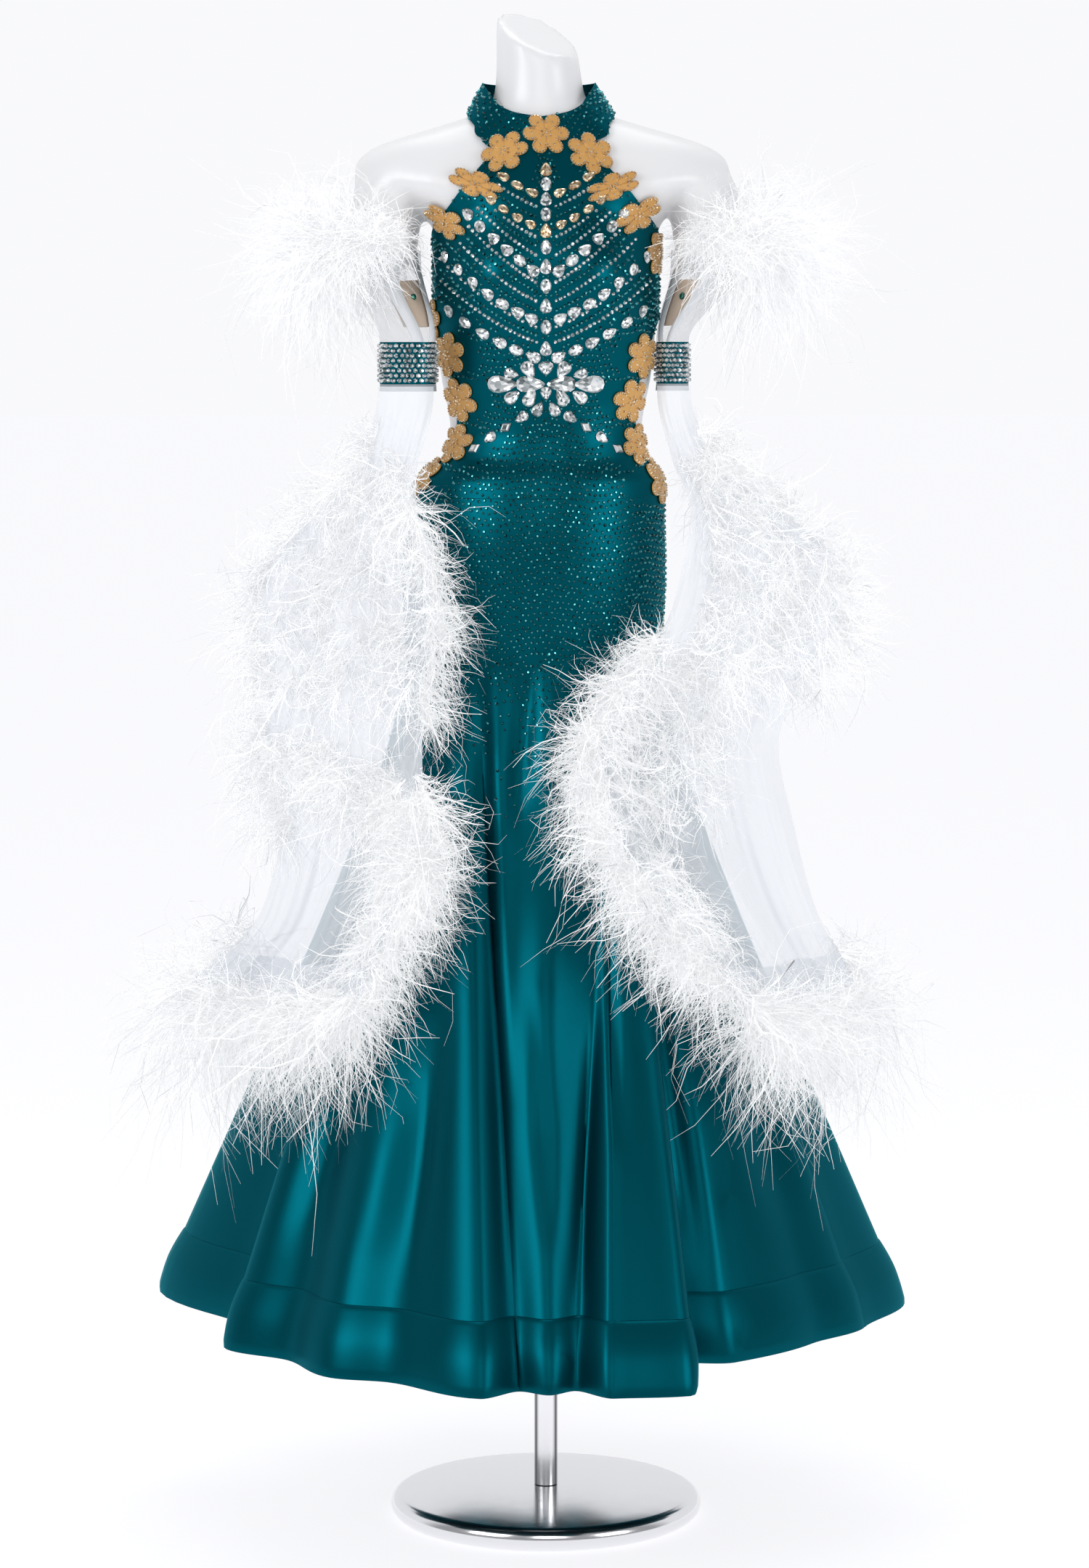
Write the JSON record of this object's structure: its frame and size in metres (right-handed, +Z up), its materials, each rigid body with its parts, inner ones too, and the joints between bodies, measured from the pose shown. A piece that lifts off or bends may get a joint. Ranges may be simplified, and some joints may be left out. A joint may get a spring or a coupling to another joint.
{
  "type": "ballroom dance dress on a dress form",
  "caption": "Halter ballroom gown in teal satin with crystals, flower trim, feather puffs and chiffon floats, on a limbless form with a round base.",
  "frame": {"origin": "centre of the round base's underside", "axes": "+Z up along the pole, -Y towards the front of the dress, +X towards the right of the picture"},
  "size_m": [0.8891, 0.8685, 1.7056],
  "materials": {
    "satin": "teal satin",
    "gold": "gold embroidered applique",
    "chiffon": "sheer white chiffon",
    "feather": "white ostrich feather",
    "nude": "tan mesh",
    "stones": "cloth set with clear rhinestones",
    "binding": "translucent grey elastic binding",
    "form_gloss": "white gloss",
    "chrome": "polished"
  },
  "bodies": {
    "root": {"stand_base": "chrome", "stand_pole": "chrome", "dress_form": "form_gloss", "collar": "satin", "bodice_front": "satin", "back_band": "satin", "skirt_side_back_left": "satin", "hem_side_back_left": "satin", "skirt_side_front_left": "satin", "hem_side_front_left": "satin", "skirt_centre_front": "satin", "hem_centre_front": "satin", "skirt_side_front_right": "satin", "hem_side_front_right": "satin", "skirt_side_back_right": "satin", "hem_side_back_right": "satin", "skirt_centre_back": "satin", "hem_centre_back": "satin", "flower_top": "gold", "flower_left_1": "gold", "flower_left_2": "gold", "flower_left_3": "gold", "flower_right_1": "gold", "flower_right_2": "gold", "flower_right_3": "gold", "flower_right_4": "gold", "flower_left_5": "gold", "flower_left_6": "gold", "flower_left_7": "gold", "flower_left_8": "gold", "flower_left_9": "gold", "flower_right_5": "gold", "flower_right_6": "gold", "flower_right_7": "gold", "flower_right_8": "gold", "flower_back_1": "gold", "flower_back_2": "gold", "flower_back_3": "gold", "flower_back_4": "gold", "puff_left": "feather", "sleeve_left": "chiffon", "sleeve_lining_left": "nude", "armband_left": "stones", "armband_binding_left": "binding", "float_left": "chiffon", "feather_upper_left": "feather", "feather_middle_left": "feather", "feather_edge_left": "feather", "feather_hem_left": "feather", "puff_right": "feather", "sleeve_right": "chiffon", "sleeve_lining_right": "nude", "armband_right": "stones", "armband_binding_right": "binding", "float_right": "chiffon", "feather_upper_right": "feather", "feather_middle_right": "feather", "feather_edge_right": "feather", "feather_hem_right": "feather"}
  },
  "joints": []
}
